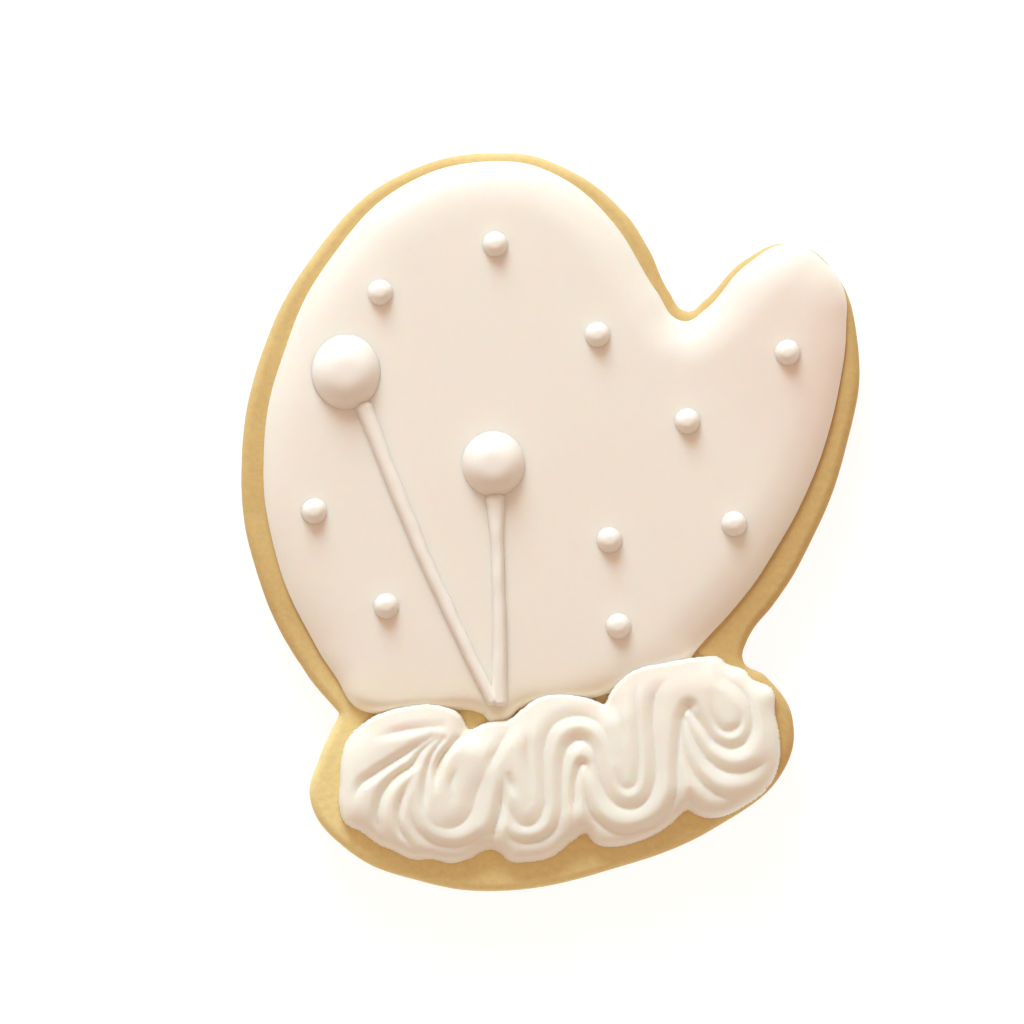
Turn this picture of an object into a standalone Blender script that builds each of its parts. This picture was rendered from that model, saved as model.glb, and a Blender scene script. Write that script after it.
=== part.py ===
"""An iced sugar cookie in the shape of a mitten: a rolled dough base, a flooded icing, piped dots,
two round pops on piped sticks, and a wide fluted border piped along the cuff.

Units are metres, +Z is up, and the cookie lies on its back with the cuff towards -Y. The tables of
outlines and routes are in millimetres."""

import math

import bmesh
import bpy
import numpy as np

MM = 0.001
GAP = 0.3 * MM  # kept between two pieces that touch

DOUGH_THICKNESS = 6.5 * MM
DOUGH_SHOULDER = 1.3 * MM  # rounding of the baked top edge
DOUGH_FOOT = 0.7 * MM  # rounding of the edge that lay on the tray
DOUGH_CENTRE = (0.0, -8.0)  # the whole outline is seen from here

ICING_THICKNESS = 2.2 * MM
ICING_LIP = 0.12  # height share of the icing at its very edge
ICING_RIM = 5.5 * MM  # width over which the flooded icing falls to its edge
ICING_CUFF_RIM = 2.0 * MM  # the same along the cuff, where the flood is scant
ICING_CUFF_AT = -24.0 * MM  # the cuff's rim holds below here and widens over the next stretch
ICING_CUFF_BLEND = 8.0 * MM
ICING_FALL = 1.8  # a higher power lets the rim fall off nearer to its edge
ICING_ROUNDING = 0.75  # a lower power makes its very edge rounder
ICING_CENTRE = (9.5, 12.4)

BORDER_HEIGHT = 3.6 * MM  # above the gap over the dough
BORDER_SIDE = 2.5 * MM  # the border's height away from its middle line
BORDER_REACH = 13.5 * MM  # from the middle line to where the border's crown ends
BORDER_WALL = 0.3 * MM  # height of the border straight above its edge
BORDER_SWELL = 4.3 * MM  # width over which the border swells up from its edge
BORDER_STEP = 4.0 * MM  # way over which its edge climbs to the flooded icing
BORDER_EDGE_FADE = 1.5  # a higher power lets the border's body take over sooner from its edge
CREASE_TAPER = 5.0 * MM  # way over which a crease gains its full depth
CREASE_SHARPNESS = 0.6  # 0 gives soft valleys, 1 gives round ropes that meet in sharp lines
CREASE_FADE = 2.5 * MM  # depth inside the border's edge at which creases are full

STICK_HEIGHT = 1.1 * MM
STICK_END = 0.7  # share of its half width over which a stick rounds off at its ends

DOT_RADIUS = 1.75 * MM
DOT_HEIGHT = 1.6 * MM

PIPED_TOP = 3.2  # a higher power gives what is piped a flatter top
PIPED_SIDE = 0.95  # a lower power gives it steeper sides
BEAD_FOOT = 1e-4  # share of a bead's height that belongs to its flat foot

# The dough's outline, from the top of the hand counter-clockwise. The corner is where the cuff
# meets the hand on the left.
DOUGH_OUTLINE = (
    (-6.0, 50.0), (-21.0, 46.6), (-32.5, 35.6), (-39.3, 22.0), (-41.9, 7.0), (-39.5, -8.0),
    (-33.3, -20.4), (-28.6, -26.0), (-31.3, -31.7), (-32.6, -37.6), (-27.8, -44.3),
    (-18.5, -48.6), (-6.0, -50.0), (9.0, -47.0), (22.0, -41.8), (31.4, -34.1), (33.0, -26.9),
    (29.4, -20.9), (26.3, -18.9), (26.8, -16.2), (30.5, -11.1), (34.3, -5.1), (40.6, 11.5),
    (41.8, 24.5), (38.0, 34.6), (32.5, 37.7), (26.3, 35.5), (20.9, 30.2), (18.5, 28.6),
    (16.2, 31.3), (13.4, 37.1), (9.8, 42.3), (1.8, 48.0),
)
DOUGH_CORNERS = (7,)

# The flooded icing's edge, in the same order. It touches the dough's edge at the thumb's tip.
ICING_OUTLINE = (
    (-6.0, 48.7), (-19.4, 45.7), (-29.8, 35.5), (-36.2, 22.6), (-38.8, 8.0), (-36.6, -6.2),
    (-31.5, -17.2), (-28.8, -21.3), (-26.7, -24.8), (-24.7, -25.9), (-16.0, -25.9),
    (-9.4, -26.0), (-8.0, -27.3), (-6.2, -27.3), (-3.6, -25.3), (0.0, -24.9), (8.0, -23.3),
    (18.0, -19.6), (20.1, -17.1), (24.7, -12.0), (29.0, -6.3), (36.4, 8.0), (39.6, 21.0),
    (40.1, 26.5), (39.9, 31.0), (37.9, 34.5), (32.5, 37.6), (26.5, 34.8), (20.8, 28.6),
    (17.9, 27.2), (14.4, 31.2), (8.8, 40.2), (1.4, 46.6),
)

# The piped border's edge, counter-clockwise from the top of its left shell.
BORDER_OUTLINE = (
    (-16.0, -24.5), (-19.5, -24.8), (-22.5, -25.6), (-25.3, -27.2), (-27.4, -29.4),
    (-28.25, -32.0), (-28.5, -35.5), (-28.5, -38.8), (-27.8, -40.7), (-25.4, -42.1),
    (-23.2, -43.7), (-21.3, -44.5), (-18.6, -45.7), (-16.0, -45.7), (-13.2, -46.2),
    (-10.6, -45.5), (-9.0, -44.6), (-7.9, -44.3), (-6.9, -44.8), (-5.6, -45.9), (-2.6, -46.0),
    (0.4, -45.3), (2.6, -43.6), (4.7, -42.1), (6.3, -43.7), (8.4, -44.0), (11.6, -43.4),
    (15.0, -41.9), (18.5, -39.0), (20.6, -40.0), (23.2, -39.9), (26.4, -38.4), (29.5, -35.9),
    (30.9, -33.0), (31.1, -29.5), (30.4, -25.5), (30.1, -22.7), (27.4, -21.2), (26.1, -19.9),
    (24.2, -19.3), (22.6, -18.2), (20.8, -18.2), (15.5, -18.9), (11.0, -20.0), (8.6, -22.1),
    (7.35, -24.6), (4.6, -23.6), (1.2, -23.1), (-1.6, -23.6), (-4.0, -25.3), (-5.7, -26.6),
    (-8.3, -27.0), (-11.0, -28.1), (-11.5, -26.9), (-12.2, -25.8), (-13.6, -25.0),
)
BORDER_CORNERS = (17, 23, 28, 45, 52)
# Its creases: (depth, half width, share of the depth at either end), then points on the way.
BORDER_CREASES = (
    ((0.6, 1.4, 0.5, 0.0), ((-14.8, -27.5), (-17.5, -27.8), (-20.0, -28.2), (-24.6, -29.3))),
    ((0.9, 1.4, 0.4, 0.0), ((-16.0, -29.0), (-18.5, -30.7), (-21.0, -32.3), (-23.8, -34.1),
                            (-25.6, -35.5), (-26.8, -38.9))),
    ((1.0, 1.4, 0.4, 0.3), ((-15.4, -29.3), (-17.5, -31.1), (-18.6, -32.8), (-20.5, -34.1),
                            (-22.2, -35.9), (-23.2, -38.5), (-23.2, -40.8), (-22.4, -43.7))),
    ((0.9, 1.1, 0.2, 0.1), ((-18.4, -34.1), (-19.6, -36.3), (-20.4, -38.8), (-20.3, -41.1),
                            (-19.2, -43.1), (-17.6, -45.1))),
    ((0.9, 1.1, 0.5, 0.0), ((-14.4, -29.3), (-15.9, -31.3), (-16.7, -33.9), (-17.0, -36.5),
                            (-16.9, -39.1), (-16.2, -40.5))),
    ((1.4, 1.2, 0.6, 0.0), ((-12.3, -29.1), (-13.8, -30.7), (-14.9, -32.3), (-15.4, -34.1),
                            (-15.5, -37.1))),
    ((0.4, 1.0, 0.1, 0.4), ((-12.4, -32.9), (-13.3, -35.3), (-13.2, -37.2))),
    ((0.7, 1.8, 0.2, 0.4), ((-18.7, -37.9), (-18.6, -40.3), (-16.8, -42.7), (-14.3, -43.8),
                            (-11.6, -43.7), (-8.6, -42.3))),
    ((0.6, 2.3, 0.2, 0.2), ((-16.6, -39.9), (-15.0, -41.1), (-12.9, -41.2), (-11.0, -39.7),
                            (-10.0, -36.9), (-9.0, -34.1), (-8.2, -31.9))),
    ((0.6, 1.6, 0.6, 0.0), ((-5.4, -27.1), (-6.6, -29.7), (-8.0, -32.3), (-9.2, -35.5))),
    ((1.1, 1.7, 0.1, 0.3), ((-6.4, -33.5), (-6.5, -36.5), (-6.8, -39.3), (-7.6, -41.9),
                            (-7.9, -46.1))),
    ((0.6, 2.1, 0.2, 0.3), ((-6.3, -35.9), (-5.5, -38.7), (-4.0, -40.8), (-2.4, -40.9),
                            (-1.0, -38.9), (-0.9, -34.5), (-0.7, -29.9), (0.4, -27.5),
                            (2.8, -26.3), (5.4, -26.5), (7.3, -28.1), (8.1, -31.5))),
    ((0.6, 1.3, 0.0, 0.1), ((-6.0, -32.9), (-5.3, -35.2), (-4.5, -37.5))),
    ((0.6, 1.5, 0.0, 0.3), ((-3.2, -26.9), (-3.1, -32.1), (-2.6, -35.1), (-2.4, -37.4))),
    ((0.8, 2.2, 0.3, 0.1), ((-6.3, -40.9), (-4.9, -42.9), (-2.4, -43.3), (0.0, -42.3),
                            (1.3, -39.7), (1.5, -35.5), (1.8, -31.9), (2.8, -29.7),
                            (4.2, -29.1), (5.6, -30.3), (6.2, -32.7), (7.0, -35.5),
                            (8.4, -37.7), (10.4, -38.7), (12.6, -38.0), (13.9, -35.5),
                            (14.1, -31.5), (13.8, -26.0), (14.3, -22.9), (16.2, -20.7))),
    ((1.1, 1.7, 0.0, 0.0), ((1.7, -33.1), (2.4, -30.5), (4.1, -29.4), (5.7, -30.9),
                            (6.2, -32.9))),
    ((1.0, 1.6, 0.1, 0.0), ((3.1, -41.9), (3.2, -37.5), (3.5, -34.3), (4.5, -32.6),
                            (5.4, -33.9), (6.2, -36.5))),
    ((0.8, 1.7, 0.4, 1.2), ((4.3, -34.9), (4.8, -37.3), (6.3, -40.4), (9.2, -42.1),
                            (12.6, -41.6), (15.8, -39.7), (16.9, -36.7), (17.1, -32.5),
                            (17.5, -28.5), (18.2, -25.6), (18.9, -25.0))),
    ((0.7, 1.7, 1.0, 0.1), ((18.0, -26.5), (18.1, -29.9), (18.9, -32.9), (20.5, -35.3),
                            (23.0, -37.1), (26.0, -37.9))),
    ((0.8, 2.0, 0.9, 0.1), ((18.4, -26.7), (19.8, -29.9), (22.2, -32.9), (25.0, -33.9),
                            (28.0, -33.1), (30.4, -31.3))),
    ((0.8, 2.0, 1.2, 0.5), ((18.6, -25.1), (20.4, -27.4), (22.4, -29.8), (25.0, -30.5),
                            (26.8, -28.9), (27.1, -25.9), (26.0, -22.9), (23.4, -20.9))),
    ((0.6, 1.5, 0.2, 0.0), ((21.8, -23.5), (22.1, -26.5), (23.3, -28.1), (24.9, -28.0),
                            (25.7, -26.7), (25.2, -25.2), (23.8, -24.6))),
    ((0.4, 1.4, 0.0, 0.2), ((8.2, -32.0), (8.9, -34.2), (9.9, -35.8), (11.1, -35.7),
                            (11.8, -33.5), (11.7, -27.5), (11.4, -23.7), (12.0, -21.1))),
    ((0.3, 1.1, 0.0, 0.0), ((9.0, -24.1), (9.6, -27.5), (10.2, -30.9))),
    ((0.3, 1.5, 0.1, 0.3), ((26.4, -21.5), (28.4, -24.3), (29.2, -26.9), (29.6, -29.5))),
    ((0.4, 1.3, 0.6, 0.1), ((18.9, -36.5), (19.6, -38.7), (20.9, -40.3))),
)
BORDER_MIDDLE = ((-20.0, -35.4), (-8.0, -36.2), (6.0, -34.4), (21.8, -29.6))

# Pops: (x, y, half width, half length, height). Sticks: (x, y, half width) from the pop down.
POPS = {"left": (-27.5, 20.15, 4.75, 5.1, 3.1), "right": (-7.6, 7.75, 4.3, 4.45, 3.0)}
STICKS = {
    "left": (
        (-25.2, 15.3, 1.2), (-22.8, 9.6, 1.04), (-20.0, 2.4, 1.0), (-17.2, -4.4, 0.9),
        (-13.4, -12.6, 0.88), (-10.2, -19.4, 0.78), (-9.3, -21.2, 0.72),
    ),
    "right": (
        (-7.4, 2.9, 1.3), (-7.25, 1.0, 1.1), (-7.1, -3.0, 0.9), (-6.9, -9.5, 0.88),
        (-6.8, -16.0, 0.93), (-6.8, -21.0, 0.98), (-6.75, -24.9, 0.95),
    ),
}

DOTS = (
    (-7.4, 37.4), (-22.9, 30.9), (6.4, 25.2), (32.0, 22.8), (18.5, 13.5), (-31.8, 1.4),
    (-22.1, -11.4), (8.0, -2.5), (24.8, -0.3), (9.2, -14.1),
)

DOUGH_SPOKES = 96
DOUGH_SHARES = (1.0, 0.993, 0.978, 0.95, 0.6)
ICING_SPOKES = 80
ICING_SHARES = (1.0, 0.992, 0.97, 0.93, 0.87, 0.79, 0.66, 0.48, 0.25)
NEAREST = 0.001 * MM  # keeps a distance from being nought
BORDER_SPOKES = 170
MIDDLE_STEPS = 60
CREASE_STEPS = 8  # for each of the points that a crease runs through
CURVE_STEPS = 24  # between two of the points that a smooth line runs through
BORDER_CELL = 0.75 * MM
BORDER_KEEP = 0.85  # share of the border's triangles that stay
STICK_RINGS = 24
STICK_SIDES = 12
POP_SIDES = 20
DOT_SIDES = 12


# ---- plane geometry ----


def smooth_line(controls, corners, count, is_closed):
    """Points evenly spaced along the smooth curve through the controls, in metres."""
    data = bpy.data.curves.new("line", "CURVE")
    data.resolution_u = CURVE_STEPS
    spline = data.splines.new("BEZIER")
    spline.bezier_points.add(len(controls) - 1)
    spline.use_cyclic_u = is_closed
    for index, (knot, (x, y)) in enumerate(zip(spline.bezier_points, controls)):
        knot.co = (x * MM, y * MM, 0)
        kind = "VECTOR" if index in corners else "AUTO"
        knot.handle_left_type = kind
        knot.handle_right_type = kind
    guide = bpy.data.objects.new("line", data)
    mesh = bpy.data.meshes.new_from_object(guide)
    points = np.array([vertex.co[:2] for vertex in mesh.vertices])
    bpy.data.meshes.remove(mesh)
    bpy.data.objects.remove(guide)
    bpy.data.curves.remove(data)
    return even(closed(points), count + 1)[:-1] if is_closed else even(points, count)


def smooth_outline(controls, corners, count):
    return smooth_line(controls, corners, count, is_closed=True)


def spaced(points, shares):
    """The line through the points, again with points at these shares of its length."""
    steps = np.hypot(*np.diff(points[:, :2], axis=0).T)
    along = np.concatenate([[0], np.cumsum(steps)])
    wanted = shares * along[-1]
    return np.stack([np.interp(wanted, along, column) for column in points.T], axis=-1)


def even(points, count):
    return spaced(points, np.linspace(0, 1, count))


def way_along(points, line):
    """(distance, place along) of the nearest part of an open even line."""
    starts = line[:-1]
    runs = line[1:] - starts
    away = points[:, None] - starts
    share = np.clip((away * runs).sum(-1) / (runs**2).sum(-1), 0, 1)
    gaps = np.linalg.norm(away - share[..., None] * runs, axis=-1)
    best = gaps.argmin(axis=1)
    rows = np.arange(len(points))
    return gaps[rows, best], (best + share[rows, best]) * np.linalg.norm(runs[0])


def depth_inside(points, outline):
    """Depth of each point inside the outline, which runs counter-clockwise."""
    nearest = np.linalg.norm(points[:, None] - outline, axis=-1).argmin(axis=1)
    turn = (np.roll(outline, -1, axis=0) - np.roll(outline, 1, axis=0))[nearest]
    away = points - outline[nearest]
    side = np.sign(turn[:, 0] * away[:, 1] - turn[:, 1] * away[:, 0])
    return side * np.linalg.norm(away, axis=1)


def soft_depth(points, outline):
    """Depth inside the outline, without a ridge where its sides are equally near.

    Each step of the outline counts by the inverse fourth power of its distance. Along a straight
    edge they add up to pi / 2 over the cubed depth."""
    step = np.linalg.norm(outline[1] - outline[0])
    squared = np.maximum(((points[:, None] - outline) ** 2).sum(-1), NEAREST**2)
    depth = (2 / math.pi * step * (squared**-2).sum(axis=1)) ** (-1 / 3)
    return np.where(depth_inside(points, outline) > 0, depth, 0)


def outward(outline, extra):
    """The outline moved outwards; it runs counter-clockwise."""
    heading = np.roll(outline, -1, axis=0) - np.roll(outline, 1, axis=0)
    heading /= np.linalg.norm(heading, axis=1, keepdims=True)
    return outline + extra * np.stack([heading[:, 1], -heading[:, 0]], axis=-1)


def distance(points, line):
    """Distance of each point to the nearest part of an open line."""
    starts = line[:-1]
    runs = line[1:] - starts
    away = points[:, None] - starts
    share = np.clip((away * runs).sum(-1) / (runs**2).sum(-1), 0, 1)
    return np.linalg.norm(away - share[..., None] * runs, axis=-1).min(axis=1)


def closed(outline):
    return np.vstack([outline, outline[:1]])


def ease(share):
    return share**2 * (3 - 2 * share)


def piped(share):
    """Height share of a piped line or bead, at this share of its half width from the middle."""
    return (1 - np.clip(np.abs(share), 0, 1) ** PIPED_TOP) ** PIPED_SIDE


def flooded_rim(depth, width):
    """Height share of the flooded icing, this deep inside its edge."""
    left = 1 - np.clip(depth / width, 0, 1)
    return (1 - left**ICING_FALL) ** ICING_ROUNDING


def quarter_round(depth, radius):
    """Height share of a rounded edge, this deep inside it."""
    inside = np.clip(depth / radius, 0, 1)
    return np.sqrt(1 - (1 - inside) ** 2)


# ---- meshes and materials ----


def material(name, colour, roughness):
    """A dielectric Principled material with the sRGB colour given as three bytes."""
    made = bpy.data.materials.new(name)
    made.use_nodes = True
    shader = made.node_tree.nodes["Principled BSDF"]
    linear = [((byte / 255 + 0.055) / 1.055) ** 2.4 for byte in colour]  # sRGB turned linear
    shader.inputs["Base Color"].default_value = (*linear, 1)
    shader.inputs["Roughness"].default_value = roughness
    shader.inputs["Metallic"].default_value = 0
    return made


def skin(mesh, rings):
    """Adds to the mesh the closed surface through the rings, whose first and last are points."""
    rows, columns = rings.shape[:2]
    made = bmesh.ops.create_grid(mesh, x_segments=columns, y_segments=rows - 1, size=1)["verts"]
    order = sorted(made, key=lambda vertex: (round(vertex.co.y, 5), round(vertex.co.x, 5)))
    wrapped = np.concatenate([rings, rings[:, :1]], axis=1).reshape(-1, 3)
    for vertex, place in zip(order, wrapped):
        vertex.co = place
    bmesh.ops.remove_doubles(mesh, verts=made, dist=1e-7)


def finish(mesh, name, collection, look):
    """Turns a bmesh into an object with its normals outward."""
    bmesh.ops.recalc_face_normals(mesh, faces=mesh.faces)
    data = bpy.data.meshes.new(name)
    mesh.to_mesh(data)
    mesh.free()
    data.shade_smooth()
    data.materials.append(look)
    made = bpy.data.objects.new(name, data)
    collection.objects.link(made)
    return made


def slab(name, collection, look, outline, centre, shares, bottom, top):
    """A closed body over an outline: rings shrinking to the centre, below and above.

    bottom and top give the height at an array of points."""
    middle = np.array(centre) * MM
    rings = [middle + share * (outline - middle) for share in shares]
    rings.append(np.repeat(middle[None], len(outline), axis=0))
    under = [np.column_stack([ring, bottom(ring)]) for ring in reversed(rings)]
    over = [np.column_stack([ring, top(ring)]) for ring in rings]
    mesh = bmesh.new()
    skin(mesh, np.array(under + over))
    return finish(mesh, name, collection, look)


def prism(name, collection, look, outline, low, high):
    """An upright body over an outline."""
    mesh = bmesh.new()
    made = bmesh.ops.create_circle(mesh, cap_ends=True, segments=len(outline), radius=1)["verts"]
    order = sorted(made, key=lambda vertex: math.atan2(vertex.co.y, vertex.co.x))
    for vertex, (x, y) in zip(order, outline):
        vertex.co = (x, y, low)
    raised = bmesh.ops.extrude_face_region(mesh, geom=mesh.faces[:])["geom"]
    lifted = [item for item in raised if isinstance(item, bmesh.types.BMVert)]
    bmesh.ops.translate(mesh, verts=lifted, vec=(0, 0, high - low))
    return finish(mesh, name, collection, look)


def combine(made, operation, other):
    modifier = made.modifiers.new(other.name, "BOOLEAN")
    modifier.operation = operation
    modifier.object = other


def sweep(mesh, route, half_width, floor, height, sides):
    """Adds a flat-footed rope along the route: half_width, floor and height at each point."""
    heading = np.gradient(route, axis=0)
    heading /= np.linalg.norm(heading, axis=1, keepdims=True)
    across = np.stack([-heading[:, 1], heading[:, 0]], axis=-1)
    along = np.concatenate([[0], np.cumsum(np.hypot(*np.diff(route, axis=0).T))])
    narrowing = quarter_round(np.minimum(along, along[-1] - along), STICK_END * half_width)
    angles = np.linspace(0, math.tau, sides, endpoint=False)
    out = (half_width * narrowing)[:, None] * np.cos(angles)
    rise = np.where(angles < math.pi, piped(np.cos(angles)), 0)
    lift = (height * narrowing)[:, None] * rise
    flat = route[:, None] + across[:, None] * out[..., None]
    skin(mesh, np.dstack([flat, floor[:, None] + lift]))


# ---- the dough ----


def dough_top(points, edge):
    depth = distance(points, edge)
    return DOUGH_THICKNESS - DOUGH_SHOULDER * (1 - quarter_round(depth, DOUGH_SHOULDER))


def make_dough(collection, edge):
    def foot(points):
        return DOUGH_FOOT * (1 - quarter_round(distance(points, edge), DOUGH_FOOT))

    return slab(
        "dough",
        collection,
        material("baked dough", (222, 182, 122), 0.75),
        smooth_outline(DOUGH_OUTLINE, DOUGH_CORNERS, DOUGH_SPOKES),
        DOUGH_CENTRE,
        DOUGH_SHARES,
        foot,
        lambda points: dough_top(points, edge),
    )


# ---- the flooded icing ----


def icing_top(points, dough_edge, icing_edge):
    """Height of the icing's surface: its base lies on the dough, its rim falls to the edge."""
    along_hand = np.clip((points[:, 1] - ICING_CUFF_AT) / ICING_CUFF_BLEND, 0, 1)
    rim = ICING_CUFF_RIM + (ICING_RIM - ICING_CUFF_RIM) * along_hand
    swell = flooded_rim(distance(points, icing_edge), rim)
    thickness = ICING_THICKNESS * (ICING_LIP + (1 - ICING_LIP) * swell)
    return dough_top(points, dough_edge) + GAP + thickness


def make_icing(collection, dough_edge, icing_edge, cutter):
    icing = slab(
        "icing",
        collection,
        material("flood icing", (240, 226, 212), 0.45),
        smooth_outline(ICING_OUTLINE, (), ICING_SPOKES),
        ICING_CENTRE,
        ICING_SHARES,
        lambda points: dough_top(points, dough_edge) + GAP,
        lambda points: icing_top(points, dough_edge, icing_edge),
    )
    combine(icing, "DIFFERENCE", cutter)


# ---- the piped border ----


def crease_depth(points, crease):
    """How deep one crease is at each point."""
    (full, half_width, first, last), way = crease
    line = smooth_line(way, (), CREASE_STEPS * len(way), is_closed=False)
    gap, along = way_along(points, line)
    length = np.linalg.norm(line[1] - line[0]) * (len(line) - 1)
    taper = min(CREASE_TAPER, length / 2)
    rise = ease(np.clip(along / taper, 0, 1))
    fall = ease(np.clip((length - along) / taper, 0, 1))
    strength = (first + (1 - first) * rise) * (last + (1 - last) * fall)
    share = np.clip(gap / (half_width * MM), 0, 1)
    valley = 1 - ease(share)
    fold = 1 - quarter_round(share, 1)
    return full * MM * strength * (valley + (fold - valley) * CREASE_SHARPNESS)


def border_top(points):
    """Height of the border above its foot: a soft crowned body, folded along its creases."""
    outline = smooth_outline(BORDER_OUTLINE, BORDER_CORNERS, 8 * BORDER_SPOKES)
    icing_edge = smooth_outline(ICING_OUTLINE, (), 10 * ICING_SPOKES)
    middle = smooth_line(BORDER_MIDDLE, (), MIDDLE_STEPS, is_closed=False)
    depth = soft_depth(points, outline)
    aside = np.clip(distance(points, middle) / BORDER_REACH, 0, 1)
    crown = (BORDER_HEIGHT - BORDER_SIDE) * np.sqrt(1 - aside**2)
    folds = np.array([crease_depth(points, crease) for crease in BORDER_CREASES])
    fold = (folds**3).sum(axis=0) ** (1 / 3) * np.clip(depth / CREASE_FADE, 0, 1)
    over_icing = ease(np.clip(1 + depth_inside(points, icing_edge) / BORDER_STEP, 0, 1))
    edge = BORDER_WALL + ICING_THICKNESS * over_icing
    swell = quarter_round(depth, BORDER_SWELL)
    return edge * (1 - swell) ** BORDER_EDGE_FADE + (BORDER_SIDE + crown) * swell - fold


def make_border(collection, cutters, look):
    """A block with the border's top, trimmed to the border's outline."""
    outline = smooth_outline(BORDER_OUTLINE, BORDER_CORNERS, BORDER_SPOKES)
    low = outline.min(axis=0) - BORDER_CELL
    high = outline.max(axis=0) + BORDER_CELL
    cells = np.ceil((high - low) / BORDER_CELL).astype(int)
    size = cells * BORDER_CELL
    foot = DOUGH_THICKNESS + GAP
    mesh = bmesh.new()
    bmesh.ops.create_grid(mesh, x_segments=cells[0], y_segments=cells[1], size=0.5)
    bmesh.ops.scale(mesh, verts=mesh.verts, vec=(*size, 1))
    bmesh.ops.translate(mesh, verts=mesh.verts, vec=(*(low + size / 2), 0))
    points = np.array([vertex.co[:2] for vertex in mesh.verts])
    for vertex, rise in zip(mesh.verts, border_top(points)):
        vertex.co.z = foot + rise
    rim = [edge for edge in mesh.edges if edge.is_boundary]
    walls = bmesh.ops.extrude_edge_only(mesh, edges=rim)["geom"]
    for item in walls:
        if isinstance(item, bmesh.types.BMVert):
            item.co.z = foot
    rim = [edge for edge in mesh.edges if edge.is_boundary]
    bmesh.ops.holes_fill(mesh, edges=rim)
    border = finish(mesh, "border", collection, look)
    trim = prism("border_outline", cutters, look, outline, foot - MM, foot + 2 * BORDER_HEIGHT)
    combine(border, "INTERSECT", trim)
    lighten = border.modifiers.new("lighter", "DECIMATE")
    lighten.ratio = BORDER_KEEP


# ---- pops, sticks and dots ----


def make_bead(name, collection, look, place, size, sides):
    """A piped bead: a low dome of this half width, half length and height."""
    mesh = bmesh.new()
    bmesh.ops.create_uvsphere(mesh, u_segments=sides, v_segments=sides // 3 * 2 + 1, radius=1)
    everything = mesh.verts[:] + mesh.edges[:] + mesh.faces[:]
    cut = bmesh.ops.bisect_plane(mesh, geom=everything, plane_no=(0, 0, 1), clear_inner=True)
    rim = [item for item in cut["geom_cut"] if isinstance(item, bmesh.types.BMEdge)]
    bmesh.ops.holes_fill(mesh, edges=rim)
    for vertex in mesh.verts:
        vertex.co.z = piped(vertex.co.xy.length) if vertex.co.z > BEAD_FOOT else 0
    bmesh.ops.scale(mesh, verts=mesh.verts, vec=size)
    bead = finish(mesh, name, collection, look)
    bead.location = (place[0] * MM, place[1] * MM, DOUGH_THICKNESS + ICING_THICKNESS + 2 * GAP)


def make_stick(name, collection, look, table, surface):
    """A piped line that follows the icing's surface, with its rings closest at the round ends."""
    line = spaced(np.array(table) * MM, ease(np.linspace(0, 1, STICK_RINGS)))
    route, half_width = line[:, :2], line[:, 2]
    mesh = bmesh.new()
    height = np.full(len(line), STICK_HEIGHT)
    sweep(mesh, route, half_width, surface(route) + GAP, height, STICK_SIDES)
    finish(mesh, name, collection, look)


def make_toppings(collection, surface):
    look = material("piped icing", (247, 236, 224), 0.5)
    for side, (x, y, *size) in POPS.items():
        size = [measure * MM for measure in size]
        make_bead(f"pop_{side}", collection, look, (x, y), size, POP_SIDES)
        make_stick(f"stick_{side}", collection, look, STICKS[side], surface)
    for number, place in enumerate(DOTS, start=1):
        size = (DOT_RADIUS, DOT_RADIUS, DOT_HEIGHT)
        make_bead(f"dot_{number:02d}", collection, look, place, size, DOT_SIDES)


def main():
    for old in list(bpy.data.objects):
        bpy.data.objects.remove(old)
    cookie = bpy.data.collections.new("mitten cookie")
    cutters = bpy.data.collections.new("cutters")
    for collection in (cookie, cutters):
        bpy.context.scene.collection.children.link(collection)

    dough_edge = closed(smooth_outline(DOUGH_OUTLINE, DOUGH_CORNERS, 4 * DOUGH_SPOKES))
    icing_edge = closed(smooth_outline(ICING_OUTLINE, (), 4 * ICING_SPOKES))
    make_dough(cookie, dough_edge)

    border_look = material("border icing", (245, 233, 215), 0.5)
    make_border(cookie, cutters, border_look)
    around = outward(smooth_outline(BORDER_OUTLINE, (), BORDER_SPOKES), 2 * GAP)
    foot = DOUGH_THICKNESS - MM
    room = prism("border_room", cutters, border_look, around, foot, foot + 2 * BORDER_HEIGHT)
    make_icing(cookie, dough_edge, icing_edge, room)

    make_toppings(cookie, lambda points: icing_top(points, dough_edge, icing_edge))
    for cutter in cutters.objects:
        cutter.hide_render = True
        cutter.display_type = "WIRE"


main()
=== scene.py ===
"""An iced sugar cookie in the shape of a mitten, lying on a pale studio floor.

The dough is rolled and baked, the hand is flooded with royal icing, and dots, pops on sticks and
a fluted border are piped on top. Tables of outlines and routes are in millimetres; all else is in
metres. Z is up and the cuff lies towards -Y."""

import math

import bmesh
import bpy
import numpy as np
from bpy.props import FloatProperty, FloatVectorProperty, PointerProperty
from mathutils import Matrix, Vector, kdtree, noise


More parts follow.
